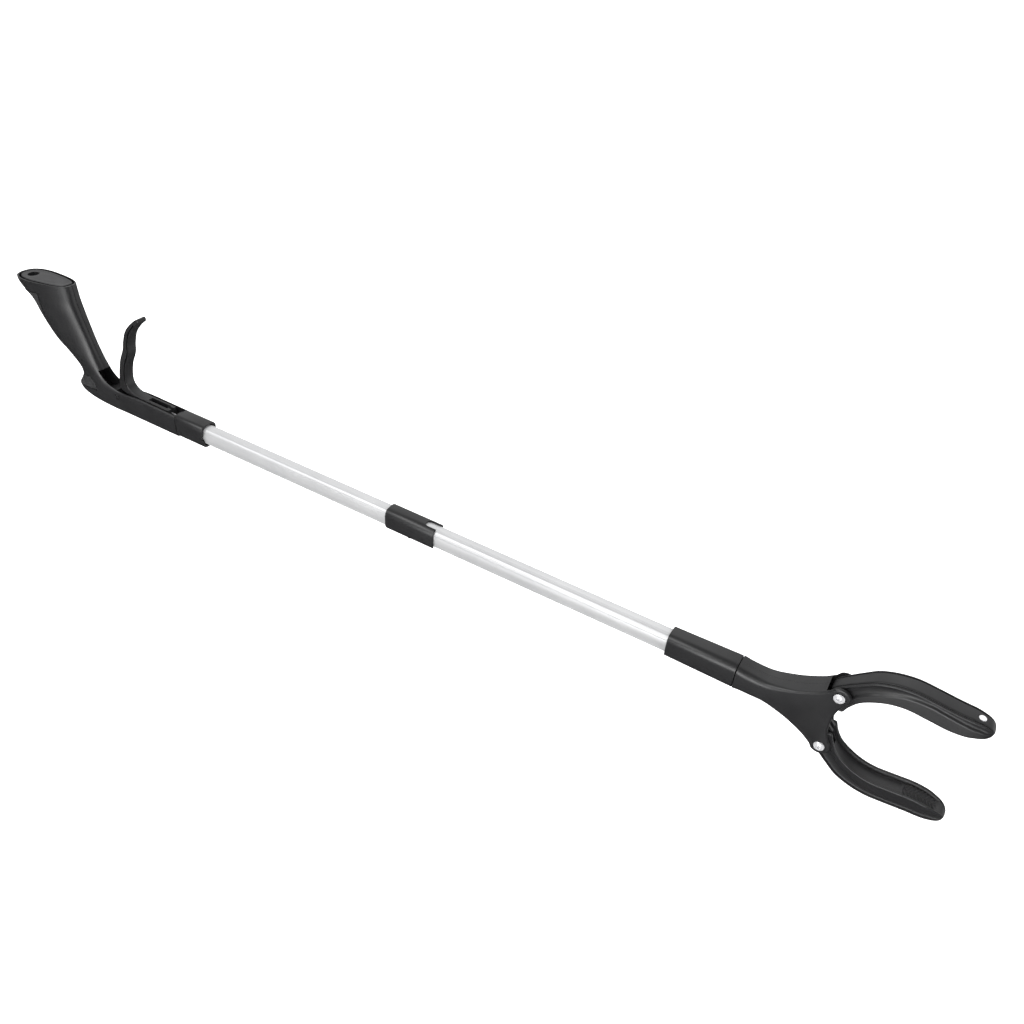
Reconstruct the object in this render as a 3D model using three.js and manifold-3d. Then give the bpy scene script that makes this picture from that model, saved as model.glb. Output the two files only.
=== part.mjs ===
// A folding hand reacher: pistol grip with trigger, folding tube, turning head with two jaws.
// Millimetres. +X runs along the shaft towards the jaws, +Z the way the grip stands, Y across.
// Every piece is drawn about the shaft's centre line with x = 0 at the fold pin; the whole model is
// then moved so that its lowest point is at z = 0 and its length is centred.
import * as THREE from 'three';
import { mergeVertices } from 'three/addons/utils/BufferGeometryUtils.js';
import Module from 'manifold-3d';

const wasm = await Module();
wasm.setup();

// Overall
const SHAFT_HEIGHT = 48.6;      // shaft centre line above the lowest point of the lower jaw
const REAR_X = -409.5;          // back edge of the grip
const TIP_X = 403.5;            // jaw tips
const GAP = 0.3;                // fitting gap between neighbouring pieces

// Tube profile and the pieces around it
const TUBE_WIDTH = 11.6;
const TUBE_HEIGHT = 16.2;
const TUBE_CORNER = 4.4;
const TUBE_WALL = 1.1;
const SEAM_X = -238.7;          // grip housing meets the handle collar
const COLLAR_END_X = -207.5;
const HEAD_COLLAR_X = 211.5;
const HEAD_SEAM_X = 259.7;      // head turns against the collar here

// Fold
const FOLD_PIN_Z = -9.0;
const FOLD_PIN_R = 1.0;
const SLEEVE_REAR_X = -19.5;
const SLEEVE_FRONT_X = 24.5;
const SLEEVE_WIDTH = 14.6;
const SLEEVE_HEIGHT = 19.2;
const TONGUE_HALF = 1.7;

// Grip and housing
const HOUSING_HALF = 8.0;
const HOUSING_WALL = 2.0;
const HOUSING_BOTTOM_Z = -11;
const STRAP_THICKNESS = 1.8;
const STRAP_TOP_DROP = 10;      // the strap ends this far under the cap's plane
const PAD_DEPTH = 1.4;
const CAP_SLOPE = 0.07;
const CAP_TOP_Z = 89.6;         // top of the cap at the grip's back edge
const CAP_THICKNESS = 5.2;
const CAP_PROUD = 0.7;          // cap stands this far above the rim round it
const RIM = 1.3;                // width of the rim round the cap
const HANG_HOLE_X = -396;
const HANG_HOLE_R = 4.6;

// Trigger
const TRIGGER_PIVOT = { x: -252, z: -5 };
const TRIGGER_HALF = 4.4;
const TRIGGER_PIN_R = 1.4;
const WIRE_R = 0.8;
const WIRE_REAR = { x: -250, z: 5.2 };
const WIRE_FRONT = { x: 233, z: 0 };

// Head and jaws
const PLATE_HALF = 8.8;
const PLATE_THICKNESS = 1.7;
const JAW_PIVOT = { x: 321.9, z: 22.5 };
const JAW_HALF = 7.6;
const JAW_ROOT_HALF = 6.8;      // the jaw's root goes in between the head's plates
const FLANGE = 2.1;
const LIP_HEIGHT = 3.6;         // lips stand this far above the floor between them
const CRANK = 7.0;
const JAW_CLOSE = THREE.MathUtils.degToRad(25.8);
const SCREW_R = 1.75;

// Materials
const blackPlastic = new THREE.MeshStandardMaterial({ color: 0x1e1e20, roughness: 0.55, metalness: 0 });
const softBlack = new THREE.MeshStandardMaterial({ color: 0x1a1a1c, roughness: 0.8, metalness: 0 });
const aluminium = new THREE.MeshStandardMaterial({ color: 0xdcdee0, roughness: 0.35, metalness: 1 });
const steel = new THREE.MeshStandardMaterial({ color: 0xc8c8cc, roughness: 0.2, metalness: 1 });

const model = new THREE.Group();
model.position.set(-(REAR_X + TIP_X) / 2, 0, SHAFT_HEIGHT);

// ---------- helpers ----------

function toSolid(geometry) {
  const bare = geometry.index ? geometry.toNonIndexed() : geometry.clone();
  bare.deleteAttribute('normal');
  bare.deleteAttribute('uv');
  const merged = mergeVertices(bare, 1e-4);
  return new wasm.Manifold(new wasm.Mesh({
    numProp: 3,
    vertProperties: new Float32Array(merged.attributes.position.array),
    triVerts: new Uint32Array(merged.index.array),
  }));
}

function addPiece(name, solid, material) {
  const mesh = solid.getMesh();
  const geometry = new THREE.BufferGeometry();
  geometry.setAttribute('position', new THREE.BufferAttribute(mesh.vertProperties, 3));
  geometry.setIndex(new THREE.BufferAttribute(mesh.triVerts, 1));
  geometry.computeVertexNormals();
  const piece = new THREE.Mesh(geometry, material);
  piece.name = name;
  model.add(piece);
}

// Side outline (x, z) given as points, extruded across from y0 to y1.
function slab(points, y0, y1, bevel = 0) {
  const shape = new THREE.Shape(points);
  const geometry = new THREE.ExtrudeGeometry(shape, {
    depth: y1 - y0 - 2 * bevel,
    bevelEnabled: bevel > 0,
    bevelThickness: bevel,
    bevelSize: bevel,
    bevelOffset: -bevel,
    bevelSegments: 3,
  });
  geometry.translate(0, 0, bevel);
  geometry.rotateX(Math.PI / 2);
  geometry.translate(0, y1, 0);
  return toSolid(geometry);
}

// Cross-section (y, z) extruded along the shaft from x0 to x1.
function bar(shape, x0, x1) {
  const geometry = new THREE.ExtrudeGeometry(shape, { depth: x1 - x0, bevelEnabled: false, curveSegments: 5 });
  const basis = new THREE.Matrix4().makeBasis(
    new THREE.Vector3(0, 1, 0), new THREE.Vector3(0, 0, 1), new THREE.Vector3(1, 0, 0));
  geometry.applyMatrix4(basis);
  geometry.translate(x0, 0, 0);
  return toSolid(geometry);
}

function box(x0, x1, y0, y1, z0, z1) {
  const geometry = new THREE.BoxGeometry(x1 - x0, y1 - y0, z1 - z0);
  geometry.translate((x0 + x1) / 2, (y0 + y1) / 2, (z0 + z1) / 2);
  return toSolid(geometry);
}

function rodAcross(radius, y0, y1, x, z, sides = 20) {
  const geometry = new THREE.CylinderGeometry(radius, radius, y1 - y0, sides);
  geometry.translate(x, (y0 + y1) / 2, z);
  return toSolid(geometry);
}

function rodAlong(radius, from, to, sides = 12) {
  const length = Math.hypot(to.x - from.x, to.z - from.z);
  const geometry = new THREE.CylinderGeometry(radius, radius, length, sides);
  geometry.rotateZ(-Math.PI / 2);
  geometry.rotateY(Math.atan2(from.z - to.z, to.x - from.x));
  geometry.translate((from.x + to.x) / 2, 0, (from.z + to.z) / 2);
  return toSolid(geometry);
}

// A turned piece: profile of [x, radius] pairs about the shaft's centre line.
function turned(profile, sides = 28) {
  const points = profile.map(([x, radius]) => new THREE.Vector2(radius, x));
  const geometry = new THREE.LatheGeometry(points, sides);
  geometry.rotateZ(-Math.PI / 2);
  return toSolid(geometry);
}

function roundedSection(width, height, corner) {
  const w = width / 2 - corner;
  const h = height / 2 - corner;
  const shape = new THREE.Shape();
  shape.absarc(w, h, corner, 0, Math.PI / 2);
  shape.absarc(-w, h, corner, Math.PI / 2, Math.PI);
  shape.absarc(-w, -h, corner, Math.PI, 1.5 * Math.PI);
  shape.absarc(w, -h, corner, 1.5 * Math.PI, 2 * Math.PI);
  return shape;
}

function tubeSection(grow) {
  return roundedSection(TUBE_WIDTH + 2 * grow, TUBE_HEIGHT + 2 * grow, TUBE_CORNER + grow);
}

function smooth(pairs, divisions) {
  const curve = new THREE.SplineCurve(pairs.map(([x, z]) => new THREE.Vector2(x, z)));
  return curve.getPoints(divisions);
}

function corners(pairs) {
  return pairs.map(([x, z]) => new THREE.Vector2(x, z));
}

function wireHeight(x) {
  const share = (x - WIRE_REAR.x) / (WIRE_FRONT.x - WIRE_REAR.x);
  return WIRE_REAR.z + share * (WIRE_FRONT.z - WIRE_REAR.z);
}

// ---------- grip ----------

// Back edge, front edge and half width of the grip, every 10 mm of height from z = 6.
const GRIP_FOOT_Z = 6;
const GRIP_STEP = 10;
const GRIP_STATIONS = [
  [-352, -321, 7.0],
  [-352, -326.5, 8.2],
  [-359, -329.5, 9.4],
  [-371.5, -333, 10.2],
  [-380.5, -336, 11.2],
  [-386.5, -339, 12.2],
  [-391, -342, 12.9],
  [-396, -344.5, 13.5],
  [-408.5, -345.4, 14.0],
  [-416, -346, 14.6],
];
const gripCurve = new THREE.CatmullRomCurve3(GRIP_STATIONS.map((s) => new THREE.Vector3(...s)));
const GRIP_HEIGHT = (GRIP_STATIONS.length - 1) * GRIP_STEP;

// Round at the back, drawn in a little towards the blunt front.
function teardrop(back, front, half, count = 32) {
  const points = [];
  for (let i = 0; i < count; i += 1) {
    const turn = (2 * Math.PI * i) / count;
    const power = Math.cos(turn) > 0 ? 0.85 : 0.6;
    const along = (1 - Math.sign(Math.cos(turn)) * Math.abs(Math.cos(turn)) ** power) / 2;
    const across = Math.sign(Math.sin(turn)) * Math.abs(Math.sin(turn)) ** power;
    points.push(new THREE.Vector2(back + along * (front - back), -across * half * (1.08 - 0.4 * along)));
  }
  return points;
}

function gripSolid(inset) {
  const shape = new THREE.Shape(teardrop(0, 1, 1));
  const geometry = new THREE.ExtrudeGeometry(shape, { depth: 1, steps: 14, bevelEnabled: false });
  const position = geometry.attributes.position;
  for (let i = 0; i < position.count; i += 1) {
    const share = position.getZ(i);
    const station = gripCurve.getPoint(share);
    const back = station.x + inset;
    const front = station.y - inset;
    position.setX(i, back + position.getX(i) * (front - back));
    position.setY(i, position.getY(i) * (station.z - inset));
    position.setZ(i, GRIP_FOOT_Z + share * GRIP_HEIGHT);
  }
  return toSolid(geometry);
}

// Everything above the cap's sloping plane, lowered by drop.
function aboveCap(drop) {
  const geometry = new THREE.BoxGeometry(200, 80, 60);
  geometry.translate(100, 0, 30);
  geometry.rotateY(-Math.atan(CAP_SLOPE));
  geometry.translate(REAR_X - 20, 0, CAP_TOP_Z - 20 * CAP_SLOPE - drop);
  return toSolid(geometry);
}

function housingOutline() {
  return [
    ...smooth([[-332, 23], [-328, 18.4], [-322, 13.6], [-314.4, 10.3], [-305, 9], [-295, 9.6],
      [-284, 10.4]], 12),
    ...corners([[SEAM_X, 10], [SEAM_X, HOUSING_BOTTOM_Z]]),
    ...smooth([[-300, HOUSING_BOTTOM_Z], [-316, -11.3], [-332, -10.8], [-346, -9], [-357, -5.4],
      [-360.4, 0.6], [-356.5, 7], [-351, 13], [-349, 20]], 16),
  ];
}

function housingHollow() {
  return corners([[-318, 16], [-318, 30], [-200, 30], [-200, -8.4], [-318, -8.4], [-326, -7], [-328, -2],
    [-327, 10], [-324, 16]]);
}

// Back part of the grip that the soft strap covers, seen from the side.
const strapZone = slab([
  ...smooth([[-378, 100], [-378.3, 82], [-378.5, 70], [-377.5, 57], [-373.5, 46], [-366, 34], [-357, 21]], 16),
  ...corners([[-430, 21], [-430, 100]]),
], -20, 20);

// Soft pad on the heel, seen from the side: back edge beyond the heel, curved front edge.
function heelOutline(grow) {
  return [
    ...corners([[-370, -0.6 - grow], [-370, 11.6 + grow], [-351, 11.6 + grow]]),
    ...smooth([[-340 + grow, 13.2 + grow], [-336.4 + grow, 8.4], [-335.2 + grow, 4.6],
      [-336.2 + grow, 1.4 - grow]], 6),
  ];
}

const gripOutside = gripSolid(0).add(slab(housingOutline(), -HOUSING_HALF, HOUSING_HALF, 2))
  .intersect(box(REAR_X, 0, -30, 30, -40, 120));

function buildGrip() {
  const capPocket = capSolid(-GAP, 0).add(capSolid(-GAP, -GAP));
  const strapPocket = gripSolid(-1).subtract(gripSolid(STRAP_THICKNESS + GAP)).intersect(strapZone)
    .subtract(aboveCap(STRAP_TOP_DROP));
  const hollow = gripSolid(4.4).subtract(aboveCap(CAP_THICKNESS + 2.5))
    .add(slab(housingHollow(), -HOUSING_HALF + HOUSING_WALL, HOUSING_HALF - HOUSING_WALL));
  const screwHoles = housingScrews().map((s) => rodAcross(1.6, -6.8, 6, s.x, s.z))
    .concat(housingScrews().map((s) => rodAcross(3.1, 5.6, 20, s.x, s.z)));
  const bosses = housingScrews().map((s) => rodAcross(3.6, -s.boss, s.boss, s.x, s.z));
  let body = gripOutside.subtract(strapPocket).subtract(aboveCap(CAP_PROUD)).subtract(capPocket).subtract(hollow);
  bosses.forEach((boss) => { body = body.add(boss); });
  screwHoles.forEach((hole) => { body = body.subtract(hole); });
  body = body.subtract(rodAcross(TRIGGER_PIN_R + 0.15, -6.9, 6.9, TRIGGER_PIVOT.x, TRIGGER_PIVOT.z));
  body = body.subtract(heelPadZone(PAD_DEPTH + GAP, GAP));
  const near = body.intersect(box(-430, -200, -30, -GAP / 2, -40, 120));
  const far = body.intersect(box(-430, -200, GAP / 2, 30, -40, 120));
  addPiece('grip_shell_near', near, blackPlastic);
  addPiece('grip_shell_far', far, blackPlastic);
}

function buildBackstrap() {
  const strap = gripSolid(0).subtract(gripSolid(STRAP_THICKNESS)).intersect(strapZone)
    .subtract(aboveCap(STRAP_TOP_DROP + GAP));
  addPiece('backstrap', strap.intersect(box(-430, -300, -30, 30, 21.4, 120)), softBlack);
}

// Both sides of the heel inside the pad's outline, down to the given depth under the housing's sides.
function heelPadZone(depth, grow) {
  const between = HOUSING_HALF - depth;
  return slab(heelOutline(grow), -20, 20).subtract(box(-420, -300, -between, between, -20, 40));
}

function buildHeelPads() {
  const pads = gripOutside.intersect(heelPadZone(PAD_DEPTH, 0));
  addPiece('heel_pad_near', pads.intersect(box(-420, -300, -20, 0, -20, 40)), softBlack);
  addPiece('heel_pad_far', pads.intersect(box(-420, -300, 0, 20, -20, 40)), softBlack);
}

// Plate of the cap's outline with its top at the cap's sloping plane, lowered by drop.
function capSolid(inset, drop) {
  const back = REAR_X + RIM + inset;
  const front = -346 - 1.8 * RIM - inset;
  const geometry = new THREE.ExtrudeGeometry(new THREE.Shape(teardrop(back, front, 12.9 - inset, 48)), {
    depth: CAP_THICKNESS, bevelEnabled: false });
  geometry.translate(-REAR_X, 0, -CAP_THICKNESS);
  geometry.rotateY(-Math.atan(CAP_SLOPE));
  geometry.translate(REAR_X, 0, CAP_TOP_Z + drop);
  return toSolid(geometry);
}

function buildCap() {
  const hole = new THREE.CylinderGeometry(HANG_HOLE_R, HANG_HOLE_R, 40, 28);
  hole.rotateX(Math.PI / 2);
  hole.translate(HANG_HOLE_X, 0, CAP_TOP_Z);
  addPiece('end_cap', capSolid(0, 0).subtract(toSolid(hole)), blackPlastic);
}

function housingScrews() {
  return [
    { name: 'housing_screw_grip', x: -367, z: 62, boss: 9.5 },
    { name: 'housing_screw_heel', x: -330.5, z: -1.5, boss: 7 },
    { name: 'housing_screw_front', x: -316.5, z: 3.5, boss: 7 },
  ];
}

function buildHousingScrews() {
  housingScrews().forEach((s) => {
    const shank = rodAcross(1.3, -6.4, 6.2, s.x, s.z);
    const head = rodAcross(2.7, 5.9, 7.4, s.x, s.z);
    addPiece(s.name, shank.add(head), steel);
  });
}

// ---------- trigger ----------

function triggerOutline() {
  const front = smooth([[-283, 10.4], [-291.4, 12.6], [-296, 17], [-296.8, 24], [-293.2, 37],
    [-286.4, 50], [-284, 60], [-279.4, 71], [-272, 79.6], [-265.6, 85]], 22);
  const tip = smooth([[-265.6, 85], [-265.4, 87], [-267, 88.2], [-270.2, 86.6]], 5).slice(1);
  const back = smooth([[-270.2, 86.6], [-277.4, 80.6], [-284.8, 72.4], [-289.6, 62.4], [-292.6, 53.6],
    [-298.8, 42], [-303.4, 29], [-306, 18], [-306, 12], [-303, 9.8]], 20).slice(1);
  return [...front, ...tip, ...back,
    ...corners([[-280, 3.5], [-259, -4.8], [-255, -6.6], [-252, -6.6], [-248.8, -2], [-248.8, 10.2]])];
}

function buildTrigger() {
  let body = slab(triggerOutline(), -TRIGGER_HALF, TRIGGER_HALF, 1);
  body = body.add(rodAcross(2.7, -TRIGGER_HALF, TRIGGER_HALF, TRIGGER_PIVOT.x, TRIGGER_PIVOT.z));
  body = body.subtract(rodAcross(TRIGGER_PIN_R + 0.15, -10, 10, TRIGGER_PIVOT.x, TRIGGER_PIVOT.z));
  body = body.subtract(box(-275, -252.4, -2.3, 2.3, 1.6, 20));
  body = body.subtract(box(-253, -240, -1.3, 1.3, 3.6, 20));
  addPiece('trigger', body, blackPlastic);
  addPiece('trigger_pin', rodAcross(TRIGGER_PIN_R, -6.7, 6.7, TRIGGER_PIVOT.x, TRIGGER_PIVOT.z), steel);
}

// Torsion spring beside the trigger: a turn and a half about the pin and two legs.
function buildTriggerSpring() {
  const points = [new THREE.Vector3(-268, 4.95, -7.2)];
  const coilR = 2.1;
  const turns = 18;
  for (let i = 0; i <= turns; i += 1) {
    const angle = -Math.PI / 2 + (1.5 * 2 * Math.PI * i) / turns;
    points.push(new THREE.Vector3(
      TRIGGER_PIVOT.x + coilR * Math.cos(angle),
      4.95 + 0.75 * (i / turns),
      TRIGGER_PIVOT.z + coilR * Math.sin(angle)));
  }
  points.push(new THREE.Vector3(-264, 5.7, -2.9));
  const path = new THREE.CatmullRomCurve3(points);
  const section = new THREE.Shape();
  section.absarc(0, 0, 0.22, 0, 2 * Math.PI);
  const geometry = new THREE.ExtrudeGeometry(section, {
    steps: 36, curveSegments: 2, bevelEnabled: false, extrudePath: path });
  addPiece('trigger_spring', toSolid(geometry), steel);
}

// ---------- tubes, collars and fold ----------

function buildTubes() {
  const rear = bar(tubeSection(0), -236.4, -3).subtract(bar(tubeSection(-TUBE_WALL), -240, 0));
  const front = bar(tubeSection(0), 5, 232.6).subtract(bar(tubeSection(-TUBE_WALL), 4, 240));
  addPiece('rear_tube', rear, aluminium);
  addPiece('front_tube', front, aluminium);
}

function buildHandleCollar() {
  const outer = bar(roundedSection(16.4, 20.6, 4.6), SEAM_X + GAP, COLLAR_END_X);
  const tenon = bar(roundedSection(11, 15.2, 1.5), SEAM_X - 4.2, SEAM_X + 1);
  const socket = bar(tubeSection(GAP), -236.7, COLLAR_END_X + 1);
  const throat = bar(roundedSection(7, 13, 1.5), SEAM_X - 5, -230);
  const window = box(-234.5, -229.5, -9, 9, -7.4, -3.6)
    .subtract(box(-240, -220, -7.9, 7.9, -9, 0));
  addPiece('handle_collar', outer.add(tenon).subtract(socket).subtract(throat).subtract(window), blackPlastic);
}

function buildFoldSleeve() {
  const outer = bar(roundedSection(SLEEVE_WIDTH, SLEEVE_HEIGHT, 5.6), SLEEVE_REAR_X, SLEEVE_FRONT_X);
  const bore = bar(tubeSection(GAP), SLEEVE_REAR_X - 1, SLEEVE_FRONT_X + 1);
  const openFront = box(2.5, SLEEVE_FRONT_X + 1, -6.1, 6.1, -20, -4);
  const tongueSlot = box(-13, 3, -TONGUE_HALF - 0.3, TONGUE_HALF + 0.3, -20, -6);
  const earRoom = bar(roundedSection(7, 6, 1), -2.2, 2.2).translate([0, 0, -7.5]);
  const ear = rodAcross(2.0, -3.3, 3.3, 0, FOLD_PIN_Z)
    .add(box(-2, 2, -3.3, 3.3, FOLD_PIN_Z, -7.6)).intersect(earRoom.add(box(-9, 9, -4, 4, -14, -8)));
  const notchEnd = new THREE.CylinderGeometry(3.4, 3.4, 6, 24);
  notchEnd.rotateX(Math.PI / 2);
  notchEnd.translate(17.5, 0, 9);
  let body = outer.subtract(bore).subtract(openFront).add(ear);
  body = body.subtract(tongueSlot).subtract(toSolid(notchEnd)).subtract(box(17.5, 30, -3.4, 3.4, 6, 12));
  body = body.subtract(rodAcross(FOLD_PIN_R + 0.15, -10, 10, 0, FOLD_PIN_Z));
  addPiece('fold_sleeve', body, blackPlastic);
  addPiece('fold_pin', rodAcross(FOLD_PIN_R, -3.3, 3.3, 0, FOLD_PIN_Z, 16), steel);
}

function wireHole(x0, x1) {
  return rodAlong(WIRE_R + 0.5, { x: x0, z: wireHeight(x0) }, { x: x1, z: wireHeight(x1) });
}

function buildPlugs() {
  const rear = bar(tubeSection(-TUBE_WALL - GAP), -26, -3.4).subtract(wireHole(-30, 0));
  addPiece('rear_plug', rear, blackPlastic);
  const tongue = slab(corners([[8, 3], [5, 3], [-1.2, -7.6], [-1.9, -9], [-1.2, -10.4], [0, -10.9],
    [1.6, -10.2], [4.7, -6.6], [8, -6.2]]), -TONGUE_HALF, TONGUE_HALF);
  const front = bar(tubeSection(-TUBE_WALL - GAP), 5.4, 27).add(tongue)
    .subtract(wireHole(0, 32))
    .subtract(rodAcross(FOLD_PIN_R + 0.08, -10, 10, 0, FOLD_PIN_Z));
  addPiece('front_plug', front, blackPlastic);
}

function buildHeadCollar() {
  const shape = roundedSection(1, 1, 0.3);
  const geometry = new THREE.ExtrudeGeometry(shape, { depth: 1, bevelEnabled: false, curveSegments: 6 });
  const position = geometry.attributes.position;
  for (let i = 0; i < position.count; i += 1) {
    const share = position.getZ(i);
    const y = position.getX(i) * (15.2 + 1.4 * share);
    const z = position.getY(i) * (19.6 + 1.2 * share);
    position.setXYZ(i, HEAD_COLLAR_X + share * (HEAD_SEAM_X - HEAD_COLLAR_X), y, z);
  }
  const outer = toSolid(geometry);
  const socket = bar(tubeSection(GAP), HEAD_COLLAR_X - 1, 233);
  const bore = turned([[232, 0], [232, 6.3], [250, 6.3], [250, 5.3], [262, 5.3], [262, 0]]);
  const window = box(250.2, 254.2, -9, 9, -8.4, -4.6).subtract(box(240, 262, -7.5, 7.5, -9, 0));
  addPiece('head_collar', outer.subtract(socket).subtract(bore).subtract(window), blackPlastic);
}

function buildSpigot() {
  const body = turned([[240, 3], [240, 6], [249.7, 6], [249.7, 5], [263, 5], [263, 6], [266.4, 6],
    [266.4, 3], [240, 3]]);
  addPiece('swivel_spigot', body, blackPlastic);
}

// ---------- pull wire ----------

function buildWire() {
  const hookX = -253.4;
  const foldRear = { x: -6, z: wireHeight(-6) };
  const foldFront = { x: 8, z: wireHeight(8) };
  const rear = rodAlong(WIRE_R, { x: -256, z: WIRE_REAR.z }, foldRear);
  addPiece('pull_wire_rear', rear, steel);
  const ferrule = rodAlong(1.8, { x: -258.2, z: WIRE_REAR.z }, { x: hookX - 0.4, z: WIRE_REAR.z }, 16)
    .subtract(rodAlong(WIRE_R + 0.2, { x: -260, z: WIRE_REAR.z }, { x: -250, z: WIRE_REAR.z }));
  addPiece('wire_ferrule', ferrule, steel);
  const front = rodAlong(WIRE_R, foldFront, WIRE_FRONT)
    .add(rodAlong(WIRE_R, { x: 232.8, z: 0 }, { x: 281, z: 0 }))
    .add(rodAlong(1.9, { x: 277, z: 0 }, { x: 281, z: 0 }, 16));
  addPiece('pull_wire_front', front, steel);
}

// ---------- head ----------

function headOutline() {
  const flank = smooth([[268, 8.6], [280, 8.1], [291, 10.8], [300, 14.3], [309, 19.4], [315.4, 24.6]], 14);
  const boss = [];
  for (let i = 0; i <= 9; i += 1) {
    const angle = THREE.MathUtils.degToRad(125 - 18.5 * i);
    boss.push(new THREE.Vector2(JAW_PIVOT.x + 7 * Math.cos(angle), JAW_PIVOT.z + 7 * Math.sin(angle)));
  }
  const upper = [new THREE.Vector2(HEAD_SEAM_X + GAP, 9.2), ...flank, ...boss, new THREE.Vector2(323.5, 8)];
  const lower = upper.map((p) => new THREE.Vector2(p.x, -p.y)).reverse();
  return [...upper, ...lower];
}

function headHollow() {
  const upper = smooth([[269, 5.6], [280, 5], [292, 8.3], [301, 12], [308, 16.4], [314.2, 22]], 12);
  upper.push(new THREE.Vector2(314.2, 40));
  upper.push(new THREE.Vector2(340, 40));
  const lower = upper.map((p) => new THREE.Vector2(p.x, -p.y)).reverse();
  return [...upper, ...lower];
}

function buildHead() {
  const room = PLATE_HALF - PLATE_THICKNESS;
  const neck = turned([[255, 0], [255, 5.3], [262.7, 5.3], [262.7, 6.3], [266.7, 6.3], [266.7, 3.2],
    [272, 3.2], [272, 0]]);
  let body = slab(headOutline(), -PLATE_HALF, PLATE_HALF, 1.2)
    .subtract(slab(headHollow(), -room, room))
    .subtract(neck);
  [JAW_PIVOT.z, -JAW_PIVOT.z].forEach((z) => {
    body = body.subtract(rodAcross(SCREW_R + 0.2, -20, 20, JAW_PIVOT.x, z));
  });
  addPiece('head_shell_near', body.intersect(box(250, 350, -30, -GAP / 2, -60, 60)), blackPlastic);
  addPiece('head_shell_far', body.intersect(box(250, 350, GAP / 2, 30, -60, 60)), blackPlastic);
}

function screwHead(radius, height) {
  const points = [];
  for (let i = 0; i <= 6; i += 1) {
    const angle = (Math.PI / 2) * (i / 6);
    points.push(new THREE.Vector2(radius * Math.cos(angle), height * Math.sin(angle)));
  }
  points[6].x = 0;
  points.unshift(new THREE.Vector2(0, 0));
  return new THREE.LatheGeometry(points, 24);
}

function buildJawScrews() {
  [['upper', 1], ['lower', -1]].forEach(([side, sign]) => {
    const dome = screwHead(3.5, 1.8);
    dome.rotateX(Math.PI);
    dome.translate(JAW_PIVOT.x, -PLATE_HALF - 0.1, sign * JAW_PIVOT.z);
    const shank = rodAcross(SCREW_R, -PLATE_HALF - 0.3, PLATE_HALF + 1.6, JAW_PIVOT.x, sign * JAW_PIVOT.z);
    const socket = rodAcross(1.1, -20, -PLATE_HALF - 0.9, JAW_PIVOT.x, sign * JAW_PIVOT.z, 6);
    addPiece(`jaw_screw_${side}`, toSolid(dome).add(shank).subtract(socket), steel);
    const nut = rodAcross(3.4, PLATE_HALF + 0.1, PLATE_HALF + 2.0, JAW_PIVOT.x, sign * JAW_PIVOT.z, 6)
      .subtract(rodAcross(SCREW_R + 0.15, 0, 20, JAW_PIVOT.x, sign * JAW_PIVOT.z));
    addPiece(`jaw_nut_${side}`, nut, steel);
  });
}

// ---------- jaws ----------

const JAW_BACK = [[316, 26.2], [321, 31], [328.5, 37.2], [337, 43], [347, 47], [358, 48.6], [370, 47.6],
  [382, 46.2], [394, 45.4], [399, 44.2], [402.2, 42.2], [TIP_X, 39.8]];
const JAW_INNER = [[TIP_X, 39.8], [401.8, 37.4], [396, 34.9], [387, 32.7], [376, 32.8], [366, 34.2],
  [357, 34.8], [348, 33], [340, 29.2], [333, 23.5], [328.4, 16], [325.6, 9.6]];

// Line parallel to the jaw's back, moved inward by depth, between two shares of its length.
function insideBack(depth, from, to, count) {
  const curve = new THREE.SplineCurve(corners(JAW_BACK));
  const points = [];
  for (let i = 0; i <= count; i += 1) {
    const share = from + ((to - from) * i) / count;
    const point = curve.getPoint(share);
    const tangent = curve.getTangent(share);
    points.push(new THREE.Vector2(point.x + depth * tangent.y, point.y - depth * tangent.x));
  }
  return points;
}

function crankPin() {
  return {
    x: JAW_PIVOT.x + CRANK * Math.sin(JAW_CLOSE / 2),
    z: JAW_PIVOT.z - CRANK * Math.cos(JAW_CLOSE / 2),
  };
}

// What the head's plates need free beside the jaw's root: round the pivot, and in front of the plates.
function plateRoom(y0, y1) {
  const reach = 60;
  const lowAngle = THREE.MathUtils.degToRad(-18);
  const highAngle = THREE.MathUtils.degToRad(112);
  const wedge = slab(corners([[JAW_PIVOT.x, JAW_PIVOT.z],
    [JAW_PIVOT.x + reach * Math.cos(lowAngle), JAW_PIVOT.z + reach * Math.sin(lowAngle)],
    [JAW_PIVOT.x, JAW_PIVOT.z - reach], [JAW_PIVOT.x - reach, JAW_PIVOT.z],
    [JAW_PIVOT.x + reach * Math.cos(highAngle), JAW_PIVOT.z + reach * Math.sin(highAngle)]]), y0, y1);
  return wedge.add(rodAcross(8.3, y0, y1, JAW_PIVOT.x, JAW_PIVOT.z, 40));
}

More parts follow.
